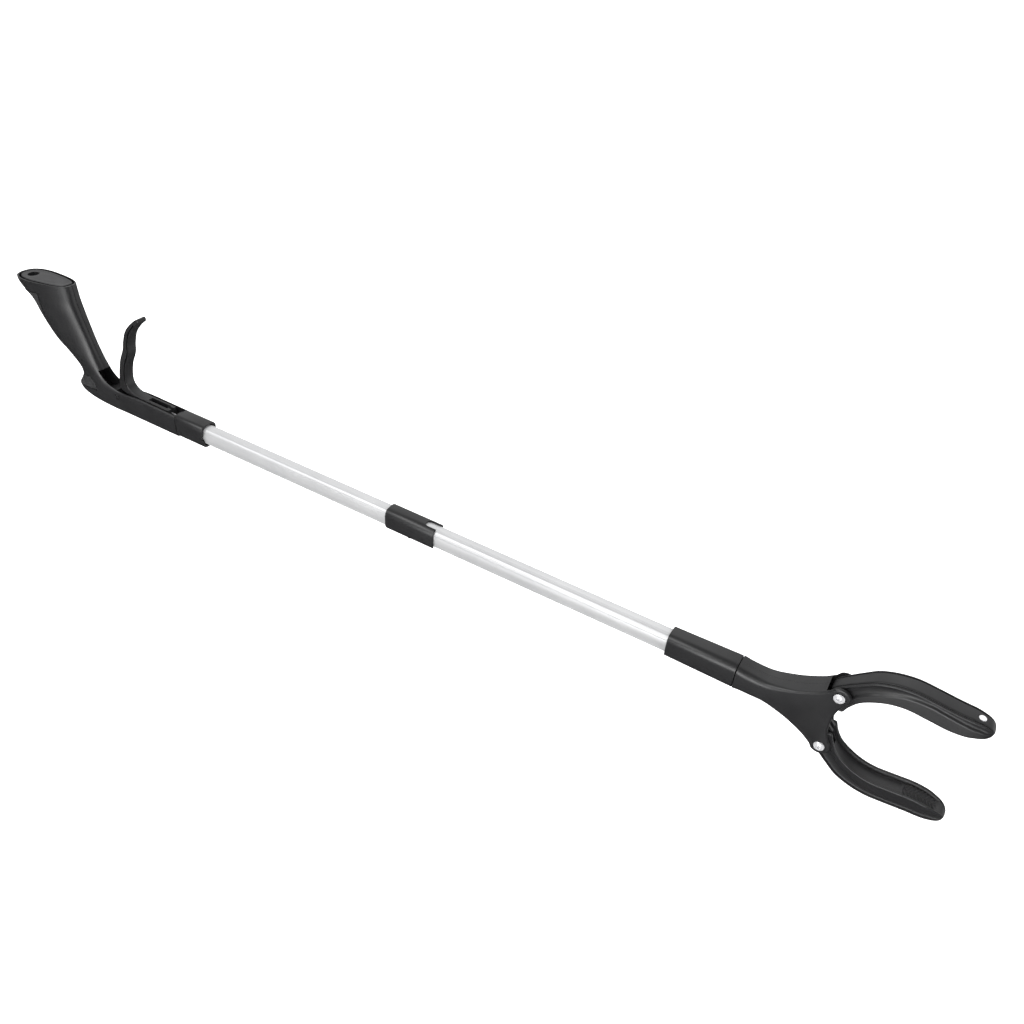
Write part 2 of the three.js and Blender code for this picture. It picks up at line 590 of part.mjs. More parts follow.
function jawBody() {
  const outline = [...smooth(JAW_BACK, 26), ...smooth(JAW_INNER, 24).slice(1),
    ...corners([[321, 12], [316.4, 18.4], [315.5, 22.5]])];
  let body = slab(outline, -JAW_HALF, JAW_HALF, 0.8);
  const tipCut = new THREE.Shape();
  tipCut.moveTo(340, -20);
  tipCut.lineTo(340, -JAW_HALF - 0.2);
  tipCut.lineTo(382, -JAW_HALF - 0.2);
  tipCut.bezierCurveTo(396, -JAW_HALF - 0.2, TIP_X + 0.1, -7, TIP_X + 0.1, 0);
  tipCut.lineTo(430, 0);
  tipCut.lineTo(430, -20);
  const nearCut = new THREE.ExtrudeGeometry(tipCut, { depth: 80, bevelEnabled: false, curveSegments: 8 });
  const farCut = nearCut.clone();
  farCut.rotateX(Math.PI);
  farCut.translate(0, 0, 80);
  body = body.subtract(toSolid(nearCut)).subtract(toSolid(farCut));
  body = body.subtract(plateRoom(-20, -JAW_ROOT_HALF)).subtract(plateRoom(JAW_ROOT_HALF, 20));
  const floor = smooth(JAW_INNER.slice(2, 10).map(([x, z]) => [x, z + LIP_HEIGHT]), 20);
  const recess = slab([...floor, ...corners([[328, 29], [322, 27.6], [316, 24], [312, 22],
    [312, 0], [394, 20]])],
    -JAW_HALF + FLANGE, JAW_HALF - FLANGE);
  const boss = rodAcross(4.2, -JAW_ROOT_HALF, JAW_ROOT_HALF, JAW_PIVOT.x, JAW_PIVOT.z);
  const pin = crankPin();
  const crank = slab(corners([[JAW_PIVOT.x - 2.4, JAW_PIVOT.z], [pin.x - 2.2, pin.z + 0.5],
    [pin.x - 1.2, pin.z - 2], [pin.x + 1.2, pin.z - 2], [pin.x + 2.2, pin.z + 0.5],
    [JAW_PIVOT.x + 3, JAW_PIVOT.z]]), -1.2, 1.2);
  body = body.subtract(recess).add(boss).add(crank);
  body = body.subtract(rodAcross(SCREW_R + 0.1, -20, 20, JAW_PIVOT.x, JAW_PIVOT.z));
  body = body.subtract(rodAcross(1.25, -20, 20, pin.x, pin.z, 16));
  return body.subtract(magnetSolid(0.2));
}

// Round insert let into the outside of the tip.
function magnetSolid(grow) {
  const geometry = new THREE.CylinderGeometry(2.2 + grow, 2.2 + grow, 1.6 + grow, 24);
  geometry.rotateX(Math.PI / 2);
  geometry.translate(394.6, 0, 44.9 - grow / 2);
  return toSolid(geometry);
}

// Pad on the floor near the tip, with ribs across its face.
function padSolid() {
  const curve = new THREE.SplineCurve(corners(JAW_INNER.slice(2, 7)));
  const under = [];
  const face = [];
  const ribs = 6;
  for (let i = 0; i <= ribs * 2; i += 1) {
    const point = curve.getPoint(0.06 + (0.7 * i) / (ribs * 2));
    under.push(new THREE.Vector2(point.x, point.y + LIP_HEIGHT - 0.3));
    face.unshift(new THREE.Vector2(point.x, point.y + LIP_HEIGHT - (i % 2 === 0 ? 1.2 : 2.2)));
  }
  return slab([...under, ...face], -JAW_HALF + FLANGE + 0.3, JAW_HALF - FLANGE - 0.3);
}

function buildJaws() {
  const pin = crankPin();
  const pieces = [
    ['jaw', jawBody(), blackPlastic],
    ['jaw_pad', padSolid(), softBlack],
    ['tip_magnet', magnetSolid(0), steel],
    ['crank_pin', rodAcross(1.1, -3.4, 3.4, pin.x, pin.z, 16), steel],
  ];
  pieces.forEach(([name, solid, material]) => {
    addPiece(`${name}_upper`, solid, material);
    addPiece(`${name}_lower`, solid.rotate([180, 0, 0]), material);
  });
}

// Cross head: a forked plate with a slot for each jaw's cross pin, on a stem along the shaft.
function buildPuller() {
  const pin = crankPin();
  let body = slab(corners([[274, 3.6], [300, 3.6], [312, 8], [319.5, 17.6], [326, 17.6], [326, 11],
    [319, 4], [319, -4], [326, -11], [326, -17.6], [319.5, -17.6], [312, -8], [300, -3.6],
    [274, -3.6]]), -3.6, 3.6);
  body = body.subtract(box(306, 330, -1.5, 1.5, -30, 30));
  body = body.subtract(rodAlong(2.2, { x: 275.6, z: 0 }, { x: 282.4, z: 0 }, 16));
  body = body.subtract(rodAlong(1.1, { x: 270, z: 0 }, { x: 277, z: 0 }, 16));
  [1, -1].forEach((sign) => {
    const slot = rodAcross(1.3, -10, 10, pin.x, sign * (pin.z + 0.2), 16)
      .add(rodAcross(1.3, -10, 10, pin.x, sign * (pin.z - 0.5), 16))
      .add(box(pin.x - 1.3, pin.x + 1.3, -10, 10, sign * pin.z - 0.5, sign * pin.z + 0.5));
    body = body.subtract(slot);
  });
  const bayOpening = box(276, 282, -1.3, 1.3, 0, 10);
  addPiece('puller', body.subtract(bayOpening), blackPlastic);
}

// Spring that pushes the cross head forward, drawn at its squeezed length.
function buildPullerSpring() {
  const turns = 4;
  const steps = turns * 10;
  const points = [];
  for (let i = 0; i <= steps; i += 1) {
    const angle = (2 * Math.PI * turns * i) / steps;
    points.push(new THREE.Vector3(267.4 + (2.8 * i) / steps, 2.4 * Math.cos(angle), 2.4 * Math.sin(angle)));
  }
  const section = new THREE.Shape();
  section.absarc(0, 0, 0.28, 0, 2 * Math.PI);
  const geometry = new THREE.ExtrudeGeometry(section, {
    steps, curveSegments: 2, bevelEnabled: false, extrudePath: new THREE.CatmullRomCurve3(points) });
  addPiece('puller_spring', toSolid(geometry), steel);
}

buildGrip();
buildBackstrap();
buildHeelPads();
buildCap();
buildHousingScrews();
buildTrigger();
buildTriggerSpring();
buildTubes();
buildHandleCollar();
buildFoldSleeve();
buildPlugs();
buildHeadCollar();
buildSpigot();
buildWire();
buildHead();
buildJawScrews();
buildJaws();
buildPuller();
buildPullerSpring();

export default model;
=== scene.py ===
"""Looks of the folding hand reacher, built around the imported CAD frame.

Pieces are drawn in millimetres about the shaft's centre line: x along the shaft towards the jaws,
y across, z the way the grip stands. x = 0 is the fold pin. place() turns that into the frame's metres.
"""

import math

import bmesh
import bpy
import numpy as np
from mathutils import Matrix, Quaternion, Vector


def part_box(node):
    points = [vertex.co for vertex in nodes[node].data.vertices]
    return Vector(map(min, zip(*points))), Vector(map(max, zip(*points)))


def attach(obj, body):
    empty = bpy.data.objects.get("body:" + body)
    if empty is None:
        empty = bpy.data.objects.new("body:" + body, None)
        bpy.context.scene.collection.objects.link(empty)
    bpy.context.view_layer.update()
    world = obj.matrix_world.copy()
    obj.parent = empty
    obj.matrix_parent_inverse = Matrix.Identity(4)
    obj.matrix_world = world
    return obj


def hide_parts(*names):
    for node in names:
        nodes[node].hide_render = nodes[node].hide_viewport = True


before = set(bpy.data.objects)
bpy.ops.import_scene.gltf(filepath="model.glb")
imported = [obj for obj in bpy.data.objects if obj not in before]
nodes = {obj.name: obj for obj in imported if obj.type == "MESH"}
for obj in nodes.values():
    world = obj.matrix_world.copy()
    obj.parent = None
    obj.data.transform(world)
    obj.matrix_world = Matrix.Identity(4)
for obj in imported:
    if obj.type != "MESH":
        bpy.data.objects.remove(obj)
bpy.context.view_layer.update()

MM = 0.001
low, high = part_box("rear_tube")
SHAFT_Z = (low.z + high.z) / 2 / MM
low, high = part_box("fold_pin")
PIN_X = (low.x + high.x) / 2 / MM


# ---------- curves and meshes ----------


def spline(points, count):
    """Points evenly spaced along a smooth curve through the given ones, whatever they hold."""
    p = np.array(points, float)
    ends = np.vstack([2 * p[0] - p[1], p, 2 * p[-1] - p[-2]])
    fine = []
    for i in range(1, len(ends) - 2):
        a, b, c, d = ends[i - 1 : i + 3]
        for u in np.linspace(0, 1, 16, endpoint=False):
            fine.append(
                0.5 * (2 * b + (c - a) * u + (2 * a - 5 * b + 4 * c - d) * u**2
                       + (3 * b - a - 3 * c + d) * u**3)
            )
    fine = np.array(fine + [p[-1]])
    length = np.concatenate([[0], np.cumsum(np.linalg.norm(np.diff(fine, axis=0), axis=1))])
    at = np.linspace(0, length[-1], count)
    return np.column_stack([np.interp(at, length, column) for column in fine.T])


def arc(cx, cz, radius, start, end, count):
    """Points on a circle, angles in degrees."""
    angles = np.radians(np.linspace(start, end, count))
    return np.column_stack([cx + radius * np.cos(angles), cz + radius * np.sin(angles)])


def smoothstep(a, b, x):
    u = np.clip((x - a) / (b - a), 0, 1)
    return u * u * (3 - 2 * u)


def place(points):
    p = np.array(points, float)
    return (p + (PIN_X, 0, SHAFT_Z)) * MM


def new_mesh(name, points, faces):
    mesh = bpy.data.meshes.new(name)
    mesh.from_pydata(place(points).tolist(), [], faces)
    work = bmesh.new()
    work.from_mesh(mesh)
    bmesh.ops.remove_doubles(work, verts=work.verts, dist=1e-6)
    bmesh.ops.dissolve_degenerate(work, edges=work.edges, dist=1e-7)
    bmesh.ops.recalc_face_normals(work, faces=work.faces)
    work.to_mesh(mesh)
    work.free()
    obj = bpy.data.objects.new(name, mesh)
    bpy.context.scene.collection.objects.link(obj)
    return obj


def skin(name, rings):
    """A closed body from closed rings joined in order, with flat ends."""
    n = len(rings[0])
    faces = []
    for r in range(len(rings) - 1):
        a, b = r * n, (r + 1) * n
        for i in range(n):
            j = (i + 1) % n
            faces.append((a + i, a + j, b + j, b + i))
    faces.append(tuple(range(n)))
    faces.append(tuple(range((len(rings) - 1) * n, len(rings) * n)))
    return new_mesh(name, np.vstack(rings), faces)


def rounded(width, height, corner, steps=8):
    """Rounded rectangle (y, z) about the origin."""
    w, h = width / 2 - corner, height / 2 - corner
    return np.vstack([
        arc(w, h, corner, 0, 90, steps),
        arc(-w, h, corner, 90, 180, steps),
        arc(-w, -h, corner, 180, 270, steps),
        arc(w, -h, corner, 270, 360, steps),
    ])


def along(section, x):
    """A section (y, z) standing across the shaft at x."""
    return np.column_stack([np.full(len(section), x), section])


def sweep(name, stations):
    """Body through (x, section) pairs."""
    return skin(name, [along(section, x) for x, section in stations])


def outward(outline, upright_x=None):
    """Unit normals of a closed outline (x, z) drawn clockwise or not; at upright_x they point along z."""
    before = outline - np.roll(outline, 1, axis=0)
    after = np.roll(outline, -1, axis=0) - outline
    before = before / np.maximum(np.linalg.norm(before, axis=1), 1e-9)[:, None]
    after = after / np.maximum(np.linalg.norm(after, axis=1), 1e-9)[:, None]
    tangent = before + after
    normal = np.column_stack([tangent[:, 1], -tangent[:, 0]])
    size = np.linalg.norm(normal, axis=1)
    normal = normal / np.maximum(size, 1e-9)[:, None]
    cosine = np.clip((normal * np.column_stack([before[:, 1], -before[:, 0]])).sum(1), 0.5, 1)
    normal = normal / cosine[:, None]
    area = np.sum(outline[:, 0] * np.roll(outline[:, 1], -1) - outline[:, 1] * np.roll(outline[:, 0], -1))
    if area < 0:
        normal = -normal
    if upright_x is not None:
        at_end = np.abs(outline[:, 0] - upright_x) < 0.01
        normal[at_end] = np.column_stack([np.zeros(at_end.sum()), np.sign(outline[at_end, 1])])
    return normal


def slab(name, outline, y0, y1, near=0.0, far=0.0, upright_x=None, steps=4):
    """Outline (x, z) extruded across from y0 to y1 with rounded edges; radii may vary by point."""
    outline = np.array(outline, float)
    normal = outward(outline, upright_x)
    near = np.broadcast_to(near, len(outline))
    far = np.broadcast_to(far, len(outline))
    rings = []
    for edge, radius, turn in ((y0, near, 1), (y1, far, -1)):
        angles = np.linspace(0, math.pi / 2, steps + 1) if radius.max() > 0 else [math.pi / 2]
        if turn < 0:
            angles = list(angles)[::-1]
        for angle in angles:
            inset = radius * (1 - math.sin(angle))
            depth = edge + turn * radius * (1 - math.cos(angle))
            flat = outline - normal * inset[:, None]
            rings.append(np.column_stack([flat[:, 0], depth, flat[:, 1]]))
    return skin(name, rings)


def rod(name, radius, y0, y1, x, z, sides=40):
    """Round bar across the shaft."""
    return slab(name, arc(x, z, radius, 0, 360, sides + 1)[:-1], y0, y1)


def block(name, x0, x1, y0, y1, z0, z1):
    return slab(name, [(x0, z0), (x1, z0), (x1, z1), (x0, z1)], y0, y1)


def bake(obj):
    """Turns the modifiers of obj into its mesh."""
    bpy.context.view_layer.update()
    seen = obj.evaluated_get(bpy.context.evaluated_depsgraph_get())
    mesh = bpy.data.meshes.new_from_object(seen)
    obj.modifiers.clear()
    obj.data = mesh
    return obj


def combine(obj, operation, *tools):
    """Cuts or joins the tools with obj, and removes the tools."""
    for tool in tools:
        step = obj.modifiers.new("step", "BOOLEAN")
        step.operation = operation
        step.solver = "EXACT"
        step.object = tool
        bake(obj)
        bpy.data.objects.remove(tool)
    return obj


def cut(obj, *tools):
    return combine(obj, "DIFFERENCE", *tools)


def keep_inside(obj, *tools):
    return combine(obj, "INTERSECT", *tools)


def join(obj, *tools):
    return combine(obj, "UNION", *tools)


def finish_piece(obj, body, material, replaced, crease=30):
    """Shading, material, body and the CAD nodes the piece stands for."""
    obj.name = replaced[0] + "_form"
    obj.data.materials.clear()
    obj.data.materials.append(material)
    for polygon in obj.data.polygons:
        polygon.use_smooth = True
        polygon.material_index = 0
    obj.data.set_sharp_from_angle(angle=math.radians(crease))
    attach(obj, body)
    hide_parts(*replaced)
    return obj


# ---------- materials ----------


def start_material(name):
    material = bpy.data.materials.new(name)
    material.use_nodes = True
    tree = material.node_tree
    shader = tree.nodes["Principled BSDF"]
    place_node = tree.nodes.new("ShaderNodeTexCoord")
    return material, tree, shader, place_node.outputs["Object"]


def noise(tree, coordinates, scale, detail=3.0, stretch=None):
    source = coordinates
    if stretch:
        mapping = tree.nodes.new("ShaderNodeMapping")
        mapping.inputs["Scale"].default_value = stretch
        tree.links.new(coordinates, mapping.inputs["Vector"])
        source = mapping.outputs["Vector"]
    texture = tree.nodes.new("ShaderNodeTexNoise")
    texture.inputs["Scale"].default_value = scale
    texture.inputs["Detail"].default_value = detail
    tree.links.new(source, texture.inputs["Vector"])
    return texture.outputs["Fac"]


def ramp(tree, value, low_value, high_value):
    """Maps a 0.3-0.7 noise value onto a range."""
    node = tree.nodes.new("ShaderNodeMapRange")
    node.inputs["From Min"].default_value = 0.3
    node.inputs["From Max"].default_value = 0.7
    node.inputs["To Min"].default_value = low_value
    node.inputs["To Max"].default_value = high_value
    tree.links.new(value, node.inputs["Value"])
    return node.outputs["Result"]


def colour_between(tree, value, dark, light):
    node = tree.nodes.new("ShaderNodeMix")
    node.data_type = "RGBA"
    node.inputs["A"].default_value = (*dark, 1)
    node.inputs["B"].default_value = (*light, 1)
    tree.links.new(value, node.inputs["Factor"])
    return node.outputs["Result"]


def bumped(tree, height, strength, distance, edge=0.0):
    """Bump from a height, over rendered edge rounding of the given radius in metres."""
    bump = tree.nodes.new("ShaderNodeBump")
    bump.inputs["Strength"].default_value = strength
    bump.inputs["Distance"].default_value = distance
    tree.links.new(height, bump.inputs["Height"])
    if edge:
        soft = tree.nodes.new("ShaderNodeBevel")
        soft.samples = 6
        soft.inputs["Radius"].default_value = edge
        tree.links.new(soft.outputs["Normal"], bump.inputs["Normal"])
    return bump.outputs["Normal"]


def moulded_plastic(name, dark, light, roughness, grain=0.12, edge=0.0003):
    """Satin moulded plastic: faint tone drift, fine spark texture, soft edges."""
    material, tree, shader, where = start_material(name)
    drift = noise(tree, where, 45, 2)
    tree.links.new(colour_between(tree, ramp(tree, drift, 0, 1), dark, light), shader.inputs["Base Color"])
    smudge = noise(tree, where, 130, 4)
    tree.links.new(ramp(tree, smudge, roughness - 0.035, roughness + 0.035), shader.inputs["Roughness"])
    spark = noise(tree, where, 2600, 2)
    tree.links.new(bumped(tree, spark, grain, 0.00006, edge), shader.inputs["Normal"])
    shader.inputs["IOR"].default_value = 1.48
    return material


def drawn_aluminium(name):
    """Bright satin extrusion: fine die lines along the shaft."""
    material, tree, shader, where = start_material(name)
    lines = noise(tree, where, 900, 3, stretch=(0.006, 1, 1))
    cloud = noise(tree, where, 25, 2)
    tree.links.new(
        colour_between(tree, ramp(tree, cloud, 0, 1), (0.46, 0.463, 0.47), (0.51, 0.512, 0.516)),
        shader.inputs["Base Color"])
    tree.links.new(ramp(tree, lines, 0.34, 0.5), shader.inputs["Roughness"])
    tree.links.new(bumped(tree, lines, 0.12, 0.00005), shader.inputs["Normal"])
    shader.inputs["Metallic"].default_value = 0.45
    return material


def bright_steel(name, roughness, metallic):
    """Plated steel with faint rub marks."""
    material, tree, shader, where = start_material(name)
    rub = noise(tree, where, 700, 4)
    tree.links.new(
        colour_between(tree, ramp(tree, rub, 0, 1), (0.72, 0.72, 0.74), (0.86, 0.86, 0.87)),
        shader.inputs["Base Color"])
    tree.links.new(ramp(tree, rub, roughness - 0.05, roughness + 0.06), shader.inputs["Roughness"])
    tree.links.new(bumped(tree, rub, 0.06, 0.00004, 0.0001), shader.inputs["Normal"])
    shader.inputs["Metallic"].default_value = metallic
    return material


plastic = moulded_plastic("moulded black", (0.009, 0.009, 0.0097), (0.0125, 0.0125, 0.0133), 0.4)
cap_plastic = moulded_plastic("cap black", (0.022, 0.022, 0.0235), (0.028, 0.028, 0.029), 0.5)
rubber = moulded_plastic("soft black", (0.019, 0.019, 0.02), (0.024, 0.024, 0.025), 0.58, grain=0.35)
aluminium = drawn_aluminium("drawn aluminium")
chrome = bright_steel("chromed steel", 0.16, 0.55)
steel = bright_steel("plain steel", 0.3, 1.0)


# ---------- grip ----------

SHELL_GAP = 0.15        # half the seam between the two grip halves
CAP_SLOPE = 0.07
CAP_REAR = (-409.5, 89.6)
CAP_THICKNESS = 5.2
CAP_RIM = 1.3           # width of the rim behind the cap
CAP_FRONT_X = -348.3
CAP_HALF = 12.9
CAP_HALF_ROUND = 13.0
POCKET_GROW = 0.2       # the cap's pocket is this much larger than its outline
HANG_HOLE_X, HANG_HOLE_R = -396, 4.6
CAP_PROUD = 0.3         # cap stands this far above the rim round it
CAP_GAP = 1.8           # gap between the cap and the rim, a dark line from its shade and the cap's sides painted darker as painted shade
SEAM_X = -238.7

# Palm edge x z, finger edge x z, half width, squareness of the section, narrowing towards the front.
GRIP_SECTIONS = [
    (-410.5, 93.0, -345.6, 97.0, 14.1, 2.4, 0.8),
    (-410.0, 86.5, -345.4, 91.0, 14.0, 2.4, 0.8),
    (-407.4, 83.2, -345.0, 86.0, 13.8, 2.4, 0.8),
    (-402.8, 79.6, -344.8, 81.5, 13.5, 2.4, 0.8),
    (-396.8, 75.8, -344.3, 77.0, 13.2, 2.4, 0.8),
    (-392.8, 70.2, -343.0, 71.5, 12.9, 2.4, 0.8),
    (-389.3, 61.5, -340.9, 63.5, 12.4, 2.4, 0.8),
    (-384.3, 52.0, -338.2, 54.5, 11.7, 2.4, 0.8),
    (-377.8, 43.0, -335.6, 45.5, 10.9, 2.5, 0.75),
    (-369.0, 34.5, -333.0, 37.0, 10.0, 2.6, 0.65),
    (-359.6, 26.6, -330.4, 29.5, 9.3, 2.8, 0.5),
    (-353.4, 19.8, -328.2, 24.0, 8.7, 3.1, 0.35),
    (-352.2, 13.0, -325.8, 19.5, 8.3, 3.4, 0.2),
    (-355.8, 7.0, -323.4, 16.3, 8.1, 3.8, 0.1),
    (-360.2, 0.8, -320.8, 14.0, 8.0, 4.2, 0.0),
    (-357.3, -5.2, -318.2, 12.1, 8.0, 4.6, 0.0),
    (-346.4, -9.0, -315.2, 10.9, 8.0, 5.0, 0.0),
    (-332.0, -10.8, -310.5, 9.8, 8.0, 5.2, 0.0),
    (-316.0, -11.3, -303.5, 9.1, 8.0, 5.4, 0.0),
    (-300.0, -11.0, -294.0, 9.6, 8.0, 5.6, 0.0),
    (-282.0, -11.0, -281.0, 10.4, 8.0, 5.8, 0.0),
    (-260.0, -11.0, -260.0, 10.2, 8.0, 5.8, 0.0),
    (SEAM_X - 0.4, -11.0, SEAM_X - 0.4, 10.0, 8.0, 5.8, 0.0),
]
FRONT_HOLLOW = 1.1      # dip down the middle of the finger side
FRONT_SQUARENESS = 2.9  # the finger side is at least this square
STRAP_LINE = [(-378, 100), (-378.3, 82), (-378.5, 70), (-377.5, 57), (-373.5, 46), (-366, 34), (-356.5, 20.5)]
STRAP_THICKNESS = 1.8
STRAP_TOP_DROP = 10
MARK_AT = (-308, 4.3)   # round mark on the near side of the housing


def teardrop_share(turn, power, front_power):
    """Position from back 0 to front 1 and sideways -1 to 1 round a rounded section."""
    exponent = np.where(np.cos(turn) > 0, 2 / power, 2 / front_power)
    along_it = (1 - np.sign(np.cos(turn)) * np.abs(np.cos(turn)) ** exponent) / 2
    return along_it, np.sign(np.sin(turn)) * np.abs(np.sin(turn)) ** exponent


def grip_rings(inset, side, stations=76, count=30, sections=GRIP_SECTIONS):
    """Half sections of the grip, closed along the seam; side is -1 near or 1 far, 0 for the whole grip."""
    rings = []
    for ox, oz, ix, iz, half, power, narrowing in spline(sections, stations):
        outer, inner = np.array([ox, oz]), np.array([ix, iz])
        depth = np.linalg.norm(inner - outer)
        direction = (inner - outer) / depth
        outer = outer + direction * inset
        depth -= 2 * inset
        if side:
            turn = np.linspace(0, math.pi, count)
        else:
            turn = np.linspace(0, 2 * math.pi, 2 * count, endpoint=False)
        share, sine = teardrop_share(turn, power, max(power, FRONT_SQUARENESS))
        across = sine * (half - inset) * (1 + 0.1 * narrowing - 0.5 * narrowing * share)
        dip = FRONT_HOLLOW * narrowing * smoothstep(0.7, 1, share) * np.exp(-((across / 2.6) ** 2))
        if side:
            across = side * np.maximum(across, SHELL_GAP)
        at = outer + (share * depth - dip)[:, None] * direction
        rings.append(np.column_stack([at[:, 0], across, at[:, 1]]))
    return rings


def above_cap(drop):
    """Everything above the sloping cap plane, lowered by drop."""
    x, z = CAP_REAR
    slope = lambda at: z + (at - x) * CAP_SLOPE - drop
    return slab("tool", [(-430, slope(-430)), (-320, slope(-320)), (-320, 140), (-430, 140)], -40, 40)


def strap_zone(grow):
    line = spline(STRAP_LINE, 24) + (grow, 0)
    low_z = line[-1][1] - grow
    return slab("tool", [*line[:-1], (line[-1][0], low_z), (-430, low_z), (-430, 110)], -30, 30)


def build_grip():
    hollow = [(-312.6, -8.2), (-312.6, 7.5), (-321, 7.2), (-326, 3.0), (-337, 2.5), (-341, 8), (-340, 14),
              (-335, 19), (-329.5, 21.5), (-318, 25), (-200, 25), (-200, -8.2)]
    for name, side in (("grip_shell_near", -1), ("grip_shell_far", 1)):
        shell = skin(name, grip_rings(0, side))
        cut(shell, above_cap(CAP_PROUD))
        cut(shell, cap_plate("tool", -POCKET_GROW, [(0, -CAP_THICKNESS - 0.3), (0, 4)]))
        pocket = keep_inside(skin("tool", grip_rings(-1, 0)), strap_zone(1.1))
        cut(pocket, skin("core", grip_rings(STRAP_THICKNESS + 0.3, 0)), above_cap(STRAP_TOP_DROP))
        cut(shell, pocket)
        cut(shell, slab("tool", hollow, -6.0, 6.0))
        y0, y1 = sorted((side * 14, side * 6.3))
        cut(shell, slab("tool", heel_outline(0.8), y0, y1))
        if side < 0:
            mark = rod("tool", 2.9, -12, -7.3, *MARK_AT)
            cut(shell, cut(mark, rod("core", 1.5, -14, -5, *MARK_AT)))
        finish_piece(shell, "handle", plastic, [name])

    strap = keep_inside(skin("backstrap", grip_rings(-0.5, 0)), strap_zone(0))
    cut(strap, skin("tool", grip_rings(STRAP_THICKNESS, 0)), above_cap(STRAP_TOP_DROP + 0.4))
    finish_piece(strap, "handle", rubber, ["backstrap"])


def heel_outline(grow):
    """Pad that wraps round the back of the heel, with a curved front edge."""
    curve = spline([(-340, 13.2 + grow), (-336.4, 8.4), (-335.2, 4.6), (-336.2, 1.4 - grow)], 12) + (grow, 0)
    return np.vstack([[(-370, -0.6 - grow), (-370, 11.6 + grow), (-351, 11.6 + grow)], curve])


def groove(at):
    """1 in the middle of a groove and 0 between grooves; at counts groove pitches."""
    return smoothstep(0.36, 0.44, np.abs(np.mod(at, 1) - 0.5))


def build_heel_pads():
    """Grip surface over the heel with two sets of diagonal grooves."""
    pitch, depth = 2.3, 0.5
    heel_sections = GRIP_SECTIONS[9:18]
    for name, side in (("heel_pad_near", -1), ("heel_pad_far", 1)):
        rings = grip_rings(-0.1, 0, 130, 90, heel_sections)
        for ring in rings:
            x, z = ring[:, 0], ring[:, 2]
            crossing = np.maximum(groove((x + z) / pitch), groove((x - z) / pitch))
            ring[:, 1] -= np.sign(ring[:, 1]) * depth * crossing
        y0, y1 = sorted((side * 14, side * 6.6))
        pad = keep_inside(skin(name, rings), slab("tool", heel_outline(0), y0, y1))
        finish_piece(pad, "handle", rubber, [name])


def cap_plate(name, inset, profile):
    """Teardrop plate in the cap's plane from (inset, height) steps.

    Steps of 4 mm and more shrink the outline towards its middle instead of following the edge.
    """
    x0, z0 = CAP_REAR[0] + CAP_RIM, CAP_REAR[1]
    turn = np.linspace(0, 2 * math.pi, 96, endpoint=False)
    share, across = teardrop_share(turn, 2.35, 3.3)
    outline = np.column_stack([x0 + share * (CAP_FRONT_X - x0), across * CAP_HALF * (1.08 - 0.4 * share)])
    centre = outline.mean(axis=0)
    normal = outward(outline)
    rings = []
    for step, height in profile:
        if step < 4:
            flat = outline - normal * (step + inset)
        else:
            flat = centre + (outline - centre) * (1 - step / CAP_HALF_ROUND)
        z = z0 + (flat[:, 0] - CAP_REAR[0]) * CAP_SLOPE + height
        rings.append(np.column_stack([flat[:, 0], flat[:, 1], z]))
    return skin(name, rings)


def build_cap():
    """Teardrop plate with an eased rim, a shallow dished top and a hang hole."""
    profile = [(0.2, -CAP_THICKNESS), (0, -CAP_THICKNESS + 0.3), (0, -0.75), (0.1, -0.4), (0.35, -0.12),
               (0.8, 0), (1.5, 0), (1.9, -0.1), (2.2, -0.2), (6.0, -0.12), (9.0, -0.08)]
    cap = cap_plate("end_cap", CAP_GAP - POCKET_GROW, profile)
    z0 = CAP_REAR[1] + 0.9
    hole = []
    mouth_r = HANG_HOLE_R + 0.7
    for radius, z in ((HANG_HOLE_R, z0 - 9), (HANG_HOLE_R, z0 - 0.5), (mouth_r, z0 + 0.6), (mouth_r, z0 + 4)):
        ring = arc(HANG_HOLE_X, 0, radius, 0, 360, 41)[:-1]
        hole.append(np.column_stack([ring, np.full(len(ring), z)]))
    cut(cap, skin("tool", hole))
    finish_piece(cap, "handle", cap_plastic, ["end_cap"])
    # Painted shade: the cap's side faces take the darker grip plastic so the gap round the cap looks shaded;
    # its upward faces keep the cap plastic.
    cap.data.materials.append(plastic)
    for polygon in cap.data.polygons:
        if polygon.normal.z < 0.3:
            polygon.material_index = 1


# ---------- trigger ----------


def trigger_outline():
    front = spline([(-283, 10.4), (-291.4, 12.6), (-296, 17), (-296.8, 24), (-293.2, 37), (-286.4, 50),
                    (-284, 60), (-279.4, 71), (-272, 79.6), (-265.6, 85)], 44)
    tip = spline([(-265.6, 85), (-265.2, 87.2), (-267, 88.4), (-270.2, 86.6)], 10)[1:]
    back = spline([(-270.2, 86.6), (-277.4, 80.6), (-284.8, 72.4), (-289.6, 62.4), (-292.6, 53.6),
                   (-298.8, 42), (-303.4, 29), (-306, 18), (-306, 12), (-303, 9.8)], 44)[1:]
    base = [(-280, 3.5), (-259, -4.8), (-255, -6.6), (-252, -6.6), (-248.8, -2), (-248.8, 10.2)]
    return np.vstack([front, tip, back, base])


def trigger_groove():
    """Narrow strip that follows the finger side a little way in, without its two ends."""
    edge = trigger_outline()[7:41]
    tangent = np.gradient(edge, axis=0)
    inwards = np.column_stack([-tangent[:, 1], tangent[:, 0]])
    inwards = inwards / np.linalg.norm(inwards, axis=1)[:, None]
    return np.vstack([edge + inwards * 0.7, (edge + inwards * 2.0)[::-1]])


def build_trigger():
    trigger = slab("trigger", trigger_outline(), -4.4, 4.4, near=0.7, far=0.7, steps=4)
    for y0, y1 in ((-6, -2.6), (2.6, 6)):
        cut(trigger, slab("tool", trigger_groove(), y0, y1))
    wire_slot = block("tool", -253, -240, -1.3, 1.3, 3.6, 20)
    cut(trigger, block("tool", -275, -252.4, -2.3, 2.3, 1.6, 20), wire_slot)
    cut(trigger, rod("tool", 1.55, -10, 10, -252, -5))
    finish_piece(trigger, "trigger", plastic, ["trigger"])


# ---------- tubes and collars ----------

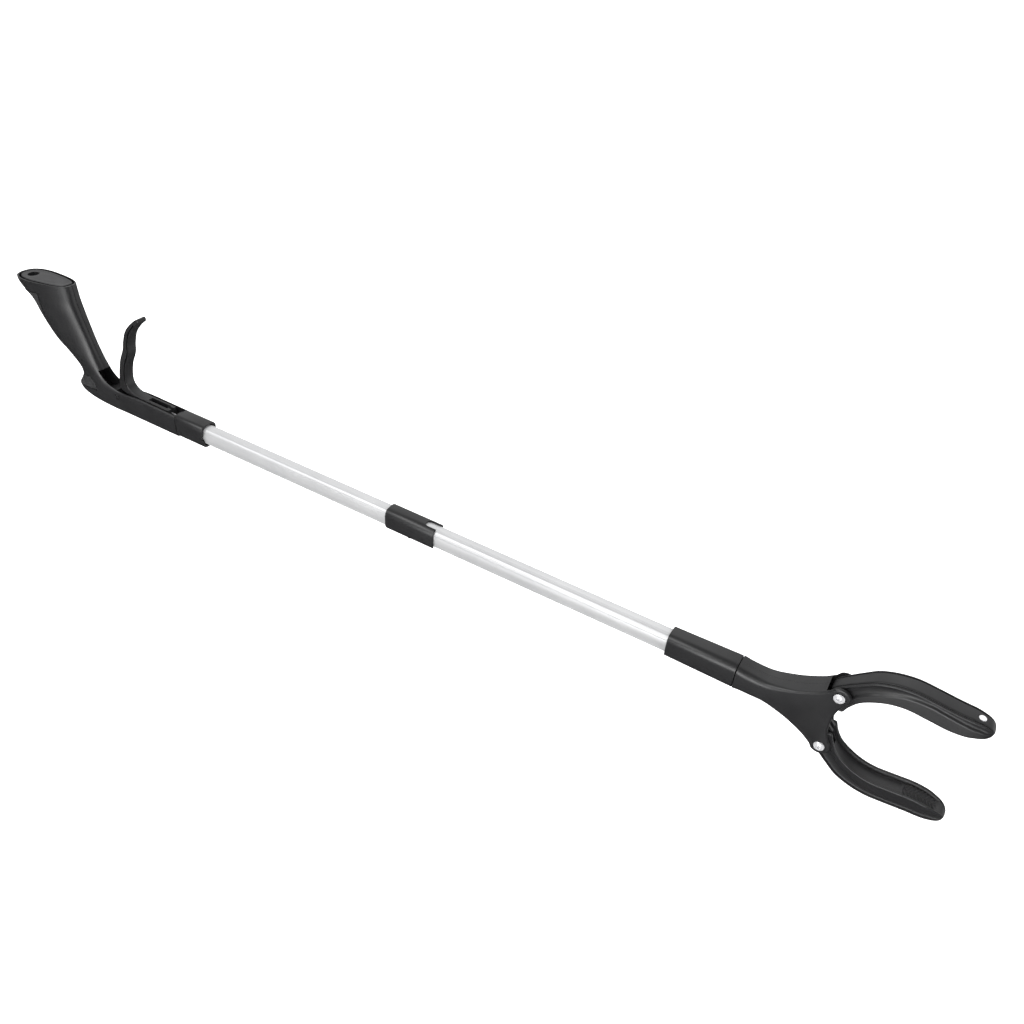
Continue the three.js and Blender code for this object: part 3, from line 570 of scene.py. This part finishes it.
TUBE_WIDTH, TUBE_HEIGHT, TUBE_CORNER, TUBE_WALL = 11.6, 16.2, 4.4, 1.1


def tube_section(grow=0.0, steps=10):
    return rounded(TUBE_WIDTH + 2 * grow, TUBE_HEIGHT + 2 * grow, TUBE_CORNER + grow, steps)


def grooved_tube_section():
    """Tube outline with a shallow raised rail along each shoulder."""
    section = tube_section(0, 24)
    angle = np.degrees(np.arctan2(section[:, 1], np.abs(section[:, 0])))
    radius = np.linalg.norm(section, axis=1)
    dip = 0.22 * (np.exp(-(((np.abs(angle) - 36) / 2.2) ** 2)) + np.exp(-(((np.abs(angle) - 74) / 2.0) ** 2)))
    return section * ((radius - dip) / radius)[:, None]


def build_tubes():
    for name, body, x0, x1 in (("rear_tube", "handle", -236.4, -3), ("front_tube", "front_arm", 5, 232.6)):
        outline = grooved_tube_section()
        soft = outline * 0.985
        tube = sweep(name, [(x0, soft), (x0 + 0.15, outline), (x1 - 0.15, outline), (x1, soft)])
        bore = tube_section(-TUBE_WALL)
        cut(tube, sweep("tool", [(x0 - 5, bore), (x1 + 5, bore)]))
        finish_piece(tube, body, aluminium, [name])


def socket(x0, x1, grow=0.3):
    section = tube_section(grow)
    return sweep("tool", [(x0, section), (x1, section)])


def eased_bar(name, x0, x1, start, end, ease=0.5):
    """Bar from section size start to end (width, height, corner) with eased ends."""
    stations = []
    length = x1 - x0
    for offset, shrink in ((0, ease), (0.15 * ease, 0.5 * ease), (0.45 * ease, 0.15 * ease), (ease, 0)):
        stations.append((x0 + offset, shrink))
    for offset, shrink in ((ease, 0), (0.45 * ease, 0.15 * ease), (0.15 * ease, 0.5 * ease), (0, ease)):
        stations.append((x1 - offset, shrink))
    pairs = []
    for x, shrink in stations:
        share = (x - x0) / length
        width, height, corner = (a + (b - a) * share for a, b in zip(start, end))
        pairs.append((x, rounded(width - 2 * shrink, height - 2 * shrink, max(corner - shrink, 0.3), 10)))
    return sweep(name, pairs)


def build_handle_collar():
    size = (16.4, 20.6, 4.6)
    collar = eased_bar("handle_collar", SEAM_X + 0.3, -207.5, size, size)
    tenon = rounded(11, 15.2, 1.5)
    join(collar, sweep("tool", [(SEAM_X - 4.2, tenon), (SEAM_X + 1, tenon)]))
    cut(collar, socket(-236.7, -200), socket(-210.5, -200, 1.2))
    cut(collar, block("tool", -209, -200, -9, 9, -2.2, 1.4))
    throat = rounded(7, 13, 1.5)
    cut(collar, sweep("tool", [(SEAM_X - 5, throat), (-230, throat)]))
    for y0, y1 in ((-9, -7.7), (7.7, 9)):
        cut(collar, block("tool", -233.5, -228.5, y0, y1, -7.2, -3.8))
    finish_piece(collar, "handle", plastic, ["handle_collar"])


def build_sleeve():
    size = (14.6, 19.2, 5.6)
    sleeve = eased_bar("fold_sleeve", -19.5, 24.5, size, size)
    cut(sleeve, socket(-25, 30), socket(22.5, 30, 0.8))
    cut(sleeve, block("tool", 2.5, 26, -6.1, 6.1, -20, -4))
    for y0, y1 in ((-3.3, -2.0), (2.0, 3.3)):
        ear = slab("tool", np.vstack([arc(0, -9, 2.0, 180, 360, 16), [(2, -7.6), (-2, -7.6)]]), y0, y1)
        join(sleeve, ear)
    cut(sleeve, block("tool", -13, 3, -2.0, 2.0, -20, -6))
    notch = np.vstack([arc(17.5, 0, 3.4, 90, 270, 24), [(30, -3.4), (30, 3.4)]])
    cut(sleeve, skin("tool", [np.column_stack([notch, np.full(len(notch), z)]) for z in (6, 14)]))
    cut(sleeve, rod("tool", 1.15, -10, 10, 0, -9))
    finish_piece(sleeve, "handle", plastic, ["fold_sleeve"])


def build_head_collar():
    collar = eased_bar("head_collar", 211.5, 259.5, (15.2, 19.6, 4.9), (16.6, 20.8, 5.2), 0.45)
    cut(collar, socket(205, 233))
    bore = [(232, 6.3), (250, 6.3), (250, 5.3), (262, 5.3)]
    cut(collar, sweep("tool", [(x, arc(0, 0, r, 0, 360, 41)[:-1]) for x, r in bore]))
    for y0, y1 in ((-9, -7.4), (7.4, 9)):
        cut(collar, block("tool", 250.2, 254.6, y0, y1, -8.2, -6.4))
    finish_piece(collar, "front_arm", plastic, ["head_collar"])


# ---------- head ----------

PLATE_HALF, PLATE = 8.8, 1.7
PIVOT_X, PIVOT_Z = 321.9, 22.5
HEAD_X = 260.0
HEAD_GAP = 0.03         # half the tight seam between the two plates


def head_outline():
    flank = spline([(HEAD_X, 9.9), (268, 8.6), (280, 8.1), (291, 10.8), (300, 14.3), (309, 19.4),
                    (315.4, 24.6)], 40)
    boss = arc(PIVOT_X, PIVOT_Z, 7, 130, -48, 26)
    front = spline([(326.2, 17.0), (323.9, 11), (322.9, 5.5), (322.6, 0)], 14)[1:-1]
    upper = np.vstack([flank, boss, front])
    lower = (upper * (1, -1))[::-1]
    return np.vstack([upper, lower])


def head_hollow():
    flank = spline([(269, 5.4), (280, 4.8), (292, 8.0), (301, 11.7), (308, 16.2), (313.6, 21.4)], 20)
    upper = np.vstack([flank, [(313.6, 40), (340, 40)]])
    return np.vstack([upper, (upper * (1, -1))[::-1]])


def build_head():
    outline = head_outline()
    reach = smoothstep(264, 306, outline[:, 0])
    crisp = 2.0 * (outline[:, 1] < 0) * smoothstep(HEAD_X, 274, outline[:, 0])
    edge = (4.6 - crisp) * (1 - reach) + 1.5 * reach
    room = PLATE_HALF - PLATE
    for name, side in (("head_shell_near", -1), ("head_shell_far", 1)):
        y0, y1 = (-PLATE_HALF, -HEAD_GAP) if side < 0 else (HEAD_GAP, PLATE_HALF)
        near, far = (edge, 0.0) if side < 0 else (0.0, edge)
        shell = slab(name, outline, y0, y1, near=near, far=far, upright_x=HEAD_X, steps=8)
        cut(shell, slab("tool", head_hollow(), -room, room))
        neck = [(250, 5.3), (262.7, 5.3), (262.7, 6.3), (266.7, 6.3), (266.7, 3.2), (272, 3.2)]
        cut(shell, sweep("tool", [(x, arc(0, 0, r, 0, 360, 41)[:-1]) for x, r in neck]))
        for z in (PIVOT_Z, -PIVOT_Z):
            cut(shell, rod("tool", 1.95, -20, 20, PIVOT_X, z))
            cut(shell, rod("tool", 4.1, *sorted((side * 8.3, side * 12)), PIVOT_X, z))
        finish_piece(shell, "head", plastic, [name])


def turned_across(name, x, z, profile, sides=48):
    """Turned piece about an axis across the shaft, from (y, radius) pairs."""
    rings = []
    for y, radius in profile:
        circle = arc(x, z, max(radius, 0.01), 0, 360, sides + 1)[:-1]
        rings.append(np.column_stack([circle[:, 0], np.full(len(circle), y), circle[:, 1]]))
    return skin(name, rings)


def build_jaw_screws():
    for name, z in (("jaw_screw_upper", PIVOT_Z), ("jaw_screw_lower", -PIVOT_Z)):
        profile = [(-10.75, 0.01), (-10.74, 0.6), (-10.66, 1.3), (-10.45, 2.0), (-10.1, 2.7), (-9.65, 3.25),
                   (-9.2, 3.5), (-8.85, 3.5), (-8.75, 3.3), (-8.75, 1.75), (10.2, 1.75), (10.4, 1.5)]
        screw = turned_across(name, PIVOT_X, z, profile)
        for long, wide in ((1.9, 0.42), (0.42, 1.9)):
            cut(screw, block("tool", PIVOT_X - long, PIVOT_X + long, -12, -9.7, z - wide, z + wide))
        finish_piece(screw, "head", chrome, [name])


# ---------- jaws ----------

# Back edge x z, inner edge x z, half width at the lips.
JAW_SECTIONS = [
    (315.9, 23.4, 321.0, 12.0, 6.7),
    (317.6, 26.2, 326.0, 10.8, 6.8),
    (321.8, 30.4, 328.8, 16.8, 6.8),
    (328.8, 36.6, 333.4, 24.0, 7.2),
    (337.0, 43.0, 341.0, 29.8, 7.6),
    (347.0, 47.0, 349.3, 33.4, 7.7),
    (358.0, 48.6, 358.0, 34.8, 7.8),
    (370.0, 47.6, 368.6, 33.9, 7.8),
    (382.0, 46.2, 381.0, 32.6, 7.8),
    (391.0, 45.7, 390.0, 33.2, 7.6),
    (396.5, 44.9, 395.4, 34.6, 6.9),
    (400.4, 43.5, 399.4, 36.0, 5.8),
    (402.6, 41.8, 402.0, 37.6, 4.2),
    (403.4, 40.4, 403.3, 38.8, 1.9),
]
JAW_STATIONS = 96
JAW_CLOSE = 25.8        # degrees each jaw turns
CRANK = 7.0
LIP_HEIGHT = 3.6        # lips stand this far above the floor between them
MAGNET_X = 394.6
PAD_START, PAD_END = 0.69, 0.955
RIB_PITCH = 2.3         # hundredths of the jaw's length
RIB_SWEEP = 2.6         # how far the ends of a chevron trail its middle, in the same unit
RIB_HEIGHT = 1.3
# How far from the back the flare of the lips begins, as a share of the depth, along the jaw.
RIDGE_ALONG = [0.0, 0.12, 0.32, 0.47, 0.62, 0.75, 0.87, 1.0]
RIDGE_DEPTH = [0.66, 0.66, 0.62, 0.44, 0.30, 0.34, 0.46, 0.55]


def jaw_stations(count=JAW_STATIONS):
    rows = []
    for i, (bx, bz, ix, iz, half) in enumerate(spline(JAW_SECTIONS, count)):
        share = i / (count - 1)
        back, inner = np.array([bx, bz]), np.array([ix, iz])
        depth = np.linalg.norm(inner - back)
        rows.append((share, back, (inner - back) / depth, depth, half))
    return rows


def jaw_profile(share, depth, half):
    """Half of the channel section as (depth from the back, distance from the middle).

    From the back: crowned strip, thin groove, rounded edge, recess, flare, lip and channel floor.
    """
    k = min(1.0, depth / 11)
    m = k * min(1.0, half / 6.8)
    lip = LIP_HEIGHT * k * (1 - 0.85 * smoothstep(0.86, 0.97, share))
    floor_depth = depth - lip
    bead = 2.0 * k
    ridge = max(float(np.interp(share, RIDGE_ALONG, RIDGE_DEPTH)) * depth, bead + 0.8 * k)
    wall = max(half - 2.0 * m, 0.4 * half)
    inner = max(wall - 1.0 * m, 0.3 * half)
    return [
        (-0.25 * k, 0),
        (-0.22 * k, 0.45 * half),
        (-0.05 * k, half - 3.1 * m),
        (0.1 * k, half - 2.95 * m),
        (0.85 * k, half - 2.8 * m),
        (0.85 * k, half - 2.1 * m),
        (0.1 * k, half - 1.95 * m),
        (0.0, half - 1.6 * m),
        (0.15 * k, half - 1.1 * m),
        (0.5 * k, half - 0.85 * m),
        (1.0 * k, half - 0.85 * m),
        (1.3 * k, half - 1.2 * m),
        (1.5 * k, half - 2.1 * m),
        (bead + 0.1 * k, half - 2.3 * m),
        (max(ridge - 1.0 * k, bead + 0.25 * k), half - 2.25 * m),
        (max(ridge - 0.5 * k, bead + 0.4 * k), half - 2.0 * m),
        (ridge, half - 1.0 * m),
        (ridge + 0.5 * k, half - 0.65 * m),
        (ridge + 1.1 * k, half - 0.57 * m),
        (depth - 1.0 * k, half - 0.05 * m),
        (depth - 0.5 * k, half),
        (depth - 0.12 * k, half - 0.22 * m),
        (depth, half - 0.75 * m),
        (depth - 0.1 * k, half - 1.4 * m),
        (depth - min(0.6 * k, 0.5 * lip), wall),
        (floor_depth + 0.12 * lip, wall - 0.35 * m),
        (floor_depth, inner),
        (floor_depth, 0),
    ]


def jaw_point(back, direction, s, y, sign):
    at = back + direction * s
    return (at[0], y, sign * at[1])


def crank_pin():
    """Crank pin of the upper jaw; the swing is symmetric about the line across the shaft."""
    half_close = math.radians(JAW_CLOSE) / 2
    return PIVOT_X + CRANK * math.sin(half_close), PIVOT_Z - CRANK * math.cos(half_close)


def build_jaw(side, sign):
    body = f"jaw_{side}"
    rings = []
    for share, back, direction, depth, half in jaw_stations():
        profile = jaw_profile(share, depth, half)
        far_half = [jaw_point(back, direction, s, y, sign) for s, y in profile]
        near_half = [jaw_point(back, direction, s, -y, sign) for s, y in profile[-2:0:-1]]
        rings.append(np.array(far_half + near_half))
    jaw = skin(f"jaw_{side}", rings)
    root = [(300, 0), (300, 20), (312, 22), (316, 23.6), (322, 27), (328, 27), (331, 23), (331, 0)]
    cut(jaw, slab("tool", [(x, sign * z) for x, z in root], -4.0, 4.0))
    px, pz = crank_pin()
    boss = rod("tool", 4.2, -6.6, 6.6, PIVOT_X, sign * PIVOT_Z)
    crank = slab("crank", [(PIVOT_X - 2.4, sign * PIVOT_Z), (px - 2.2, sign * (pz + 0.5)),
                           (px - 1.2, sign * (pz - 2)), (px + 1.2, sign * (pz - 2)),
                           (px + 2.2, sign * (pz + 0.5)), (PIVOT_X + 3, sign * PIVOT_Z)], -1.2, 1.2)
    join(jaw, boss, crank)
    cut(jaw, rod("tool", 1.9, -20, 20, PIVOT_X, sign * PIVOT_Z), rod("tool", 1.25, -20, 20, px, sign * pz))
    for y0, y1 in ((-12, -6.75), (6.75, 12)):
        cut(jaw, rod("tool", 8.4, y0, y1, PIVOT_X, sign * PIVOT_Z, 64))
    cut(jaw, magnet_pin("tool", sign, 2.4, 43.2, 50))
    finish_piece(jaw, body, plastic, [f"jaw_{side}"], crease=45)

    magnet = magnet_pin(f"tip_magnet_{side}", sign, 2.2, 43.4, 45.75, rim=0.25)
    finish_piece(magnet, body, chrome, [f"tip_magnet_{side}"])
    build_jaw_pad(side, sign)


def magnet_pin(name, sign, radius, z0, z1, rim=0.0):
    rings = []
    for z, r in ((z0, radius), (z1 - rim, radius), (z1, radius - rim), (z1 + 0.02, 0.4 * radius)):
        ring = arc(MAGNET_X, 0, r, 0, 360, 41)[:-1]
        rings.append(np.column_stack([ring, np.full(len(ring), sign * z)]))
    return skin(name, rings)


def build_jaw_pad(side, sign):
    """Soft pad in the channel near the tip, with raised chevron ribs."""
    rows = [row for row in jaw_stations(260) if PAD_START <= row[0] <= PAD_END]
    rings = []
    across = np.linspace(-1, 1, 33)
    for share, back, direction, depth, half in rows:
        width = half - 2.55
        at = (share - PAD_START) * 100
        phase = (at - RIB_SWEEP * np.abs(across)) / RIB_PITCH
        rib = np.maximum(0, 1 - np.abs(np.mod(phase, 1) - 0.5) * 4) ** 0.7
        rib = rib * smoothstep(1.0, 0.85, np.abs(across)) * (at > 1.5)
        top = depth - 3.3 + 0.8 * smoothstep(PAD_START, PAD_START + 0.05, share)
        heights = top + RIB_HEIGHT * rib
        face = [jaw_point(back, direction, s, y * width, sign) for s, y in zip(heights, across)]
        under = [jaw_point(back, direction, depth - 4.2, y * width, sign) for y in across[::-1]]
        rings.append(np.array(face + under))
    pad = skin(f"jaw_pad_{side}", rings)
    finish_piece(pad, f"jaw_{side}", rubber, [f"jaw_pad_{side}"])


# ---------- pieces kept from the CAD model ----------


def dress_cad(name, material):
    """Gives a CAD piece whose shape is right its material."""
    node = nodes[name]
    node.data.materials.clear()
    node.data.materials.append(material)
    for polygon in node.data.polygons:
        polygon.material_index = 0


def dress_kept_nodes():
    plastic_nodes = ["front_plug", "rear_plug", "swivel_spigot", "puller"]
    steel_nodes = ["crank_pin_lower", "crank_pin_upper", "fold_pin", "housing_screw_front",
                   "housing_screw_grip", "housing_screw_heel", "jaw_nut_lower", "jaw_nut_upper",
                   "pull_wire_front", "pull_wire_rear", "puller_spring", "trigger_pin",
                   "trigger_spring", "wire_ferrule"]
    for name in plastic_nodes:
        dress_cad(name, plastic)
    for name in steel_nodes:
        dress_cad(name, steel)


# ---------- studio ----------


FLOOR_Z = -0.09         # under the lowest point of the folded tool


def build_floor():
    mesh = bpy.data.meshes.new("floor")
    reach = 6.0
    mesh.from_pydata([(-reach, -reach, 0), (reach, -reach, 0), (reach, reach, 0), (-reach, reach, 0)], [],
                     [(0, 1, 2, 3)])
    floor = bpy.data.objects.new("floor", mesh)
    bpy.context.scene.collection.objects.link(floor)
    floor.location.z = FLOOR_Z
    material, tree, shader, where = start_material("pale floor")
    tone = noise(tree, where, 3, 2)
    tree.links.new(colour_between(tree, tone, (0.955, 0.955, 0.955), (0.97, 0.97, 0.97)),
                   shader.inputs["Base Color"])
    shader.inputs["Roughness"].default_value = 0.9
    shader.inputs["Specular IOR Level"].default_value = 0.0
    shader.inputs["Emission Color"].default_value = (1, 1, 1, 1)
    shader.inputs["Emission Strength"].default_value = 0.3
    mesh.materials.append(material)
    floor.visible_glossy = False


def soft_box(name, location, target, width, height, power):
    light = bpy.data.lights.new(name, "AREA")
    light.shape = "RECTANGLE"
    light.size = width
    light.size_y = height
    light.energy = power
    lamp = bpy.data.objects.new(name, light)
    bpy.context.scene.collection.objects.link(lamp)
    lamp.visible_diffuse = False
    lamp.location = location
    lamp.rotation_euler = (Vector(target) - Vector(location)).to_track_quat("-Z", "Y").to_euler()


WHITE_ROOM = 2.05       # strength of the room for the eye and for matt light
# What shiny surfaces see: a dim room with soft lights, each (direction, full width, fading width, strength).
DIM_ROOM = 0.06
REFLECTED_LIGHTS = [
    ((0.05, -0.98, 0.0), 8, 26, 8.0),
    ((-0.6, 0.62, 0.5), 18, 45, 0.8),
    ((0.15, 0.7, 0.7), 12, 40, 0.8),
    ((0.85, 0.5, -0.2), 12, 38, 0.9),
    ((0.1, 0.95, -0.3), 10, 35, 0.4),
]


def reflected_light(tree, direction_seen, towards, full, fading, strength):
    """Soft round light in the reflected room; widths are angles from its centre in degrees."""
    dot = tree.nodes.new("ShaderNodeVectorMath")
    dot.operation = "DOT_PRODUCT"
    dot.inputs[1].default_value = Vector(towards).normalized()
    tree.links.new(direction_seen, dot.inputs[0])
    fade = tree.nodes.new("ShaderNodeMapRange")
    fade.interpolation_type = "SMOOTHSTEP"
    fade.inputs["From Min"].default_value = math.cos(math.radians(fading))
    fade.inputs["From Max"].default_value = math.cos(math.radians(full))
    fade.inputs["To Min"].default_value = 0
    fade.inputs["To Max"].default_value = strength
    tree.links.new(dot.outputs["Value"], fade.inputs["Value"])
    return fade.outputs["Result"]


def build_studio():
    """White room for the eye and for matt light; shiny surfaces see soft lights in a dimmer room."""
    world = bpy.data.worlds.new("studio")
    bpy.context.scene.world = world
    world.use_nodes = True
    tree = world.node_tree
    background = tree.nodes["Background"]
    background.inputs["Color"].default_value = (1, 1, 1, 1)
    path = tree.nodes.new("ShaderNodeLightPath")
    where = tree.nodes.new("ShaderNodeTexCoord")
    total = None
    for towards, full, fading, strength in REFLECTED_LIGHTS:
        glow = reflected_light(tree, where.outputs["Generated"], towards, full, fading, strength)
        add = tree.nodes.new("ShaderNodeMath")
        add.operation = "ADD"
        add.inputs[1].default_value = DIM_ROOM
        tree.links.new(glow, add.inputs[0])
        if total:
            tree.links.new(total, add.inputs[1])
        total = add.outputs["Value"]
    choose = tree.nodes.new("ShaderNodeMix")
    choose.inputs["A"].default_value = WHITE_ROOM
    tree.links.new(path.outputs["Is Glossy Ray"], choose.inputs["Factor"])
    tree.links.new(total, choose.inputs["B"])
    tree.links.new(choose.outputs["Result"], background.inputs["Strength"])
    build_floor()
    soft_box("key", (-0.9, -1.5, 1.6), (0, 0, 0.05), 1.8, 0.7, 30)


CAMERA_PLACE = (0.3172, -0.4333, 0.4808)
CAMERA_LOOK = (-0.3696, 0.6978, -0.6136)
CAMERA_ROLL = math.radians(4.78)
CAMERA_LENS = 31.85
CAMERA_SENSOR = 36.0


def build_camera():
    data = bpy.data.cameras.new("camera")
    data.lens = CAMERA_LENS
    data.sensor_width = CAMERA_SENSOR
    data.clip_start = 0.01
    camera = bpy.data.objects.new("camera", data)
    bpy.context.scene.collection.objects.link(camera)
    look = Vector(CAMERA_LOOK).to_track_quat("-Z", "Y")
    turn = look @ Quaternion((0, 0, 1), CAMERA_ROLL)
    camera.matrix_world = Matrix.Translation(CAMERA_PLACE) @ turn.to_matrix().to_4x4()
    bpy.context.scene.camera = camera


build_grip()
build_heel_pads()
build_cap()
build_trigger()
build_tubes()
build_handle_collar()
build_sleeve()
build_head_collar()
build_head()
build_jaw_screws()
build_jaw("upper", 1)
build_jaw("lower", -1)
dress_kept_nodes()
build_studio()
build_camera()

bpy.context.scene.view_settings.view_transform = "Standard"
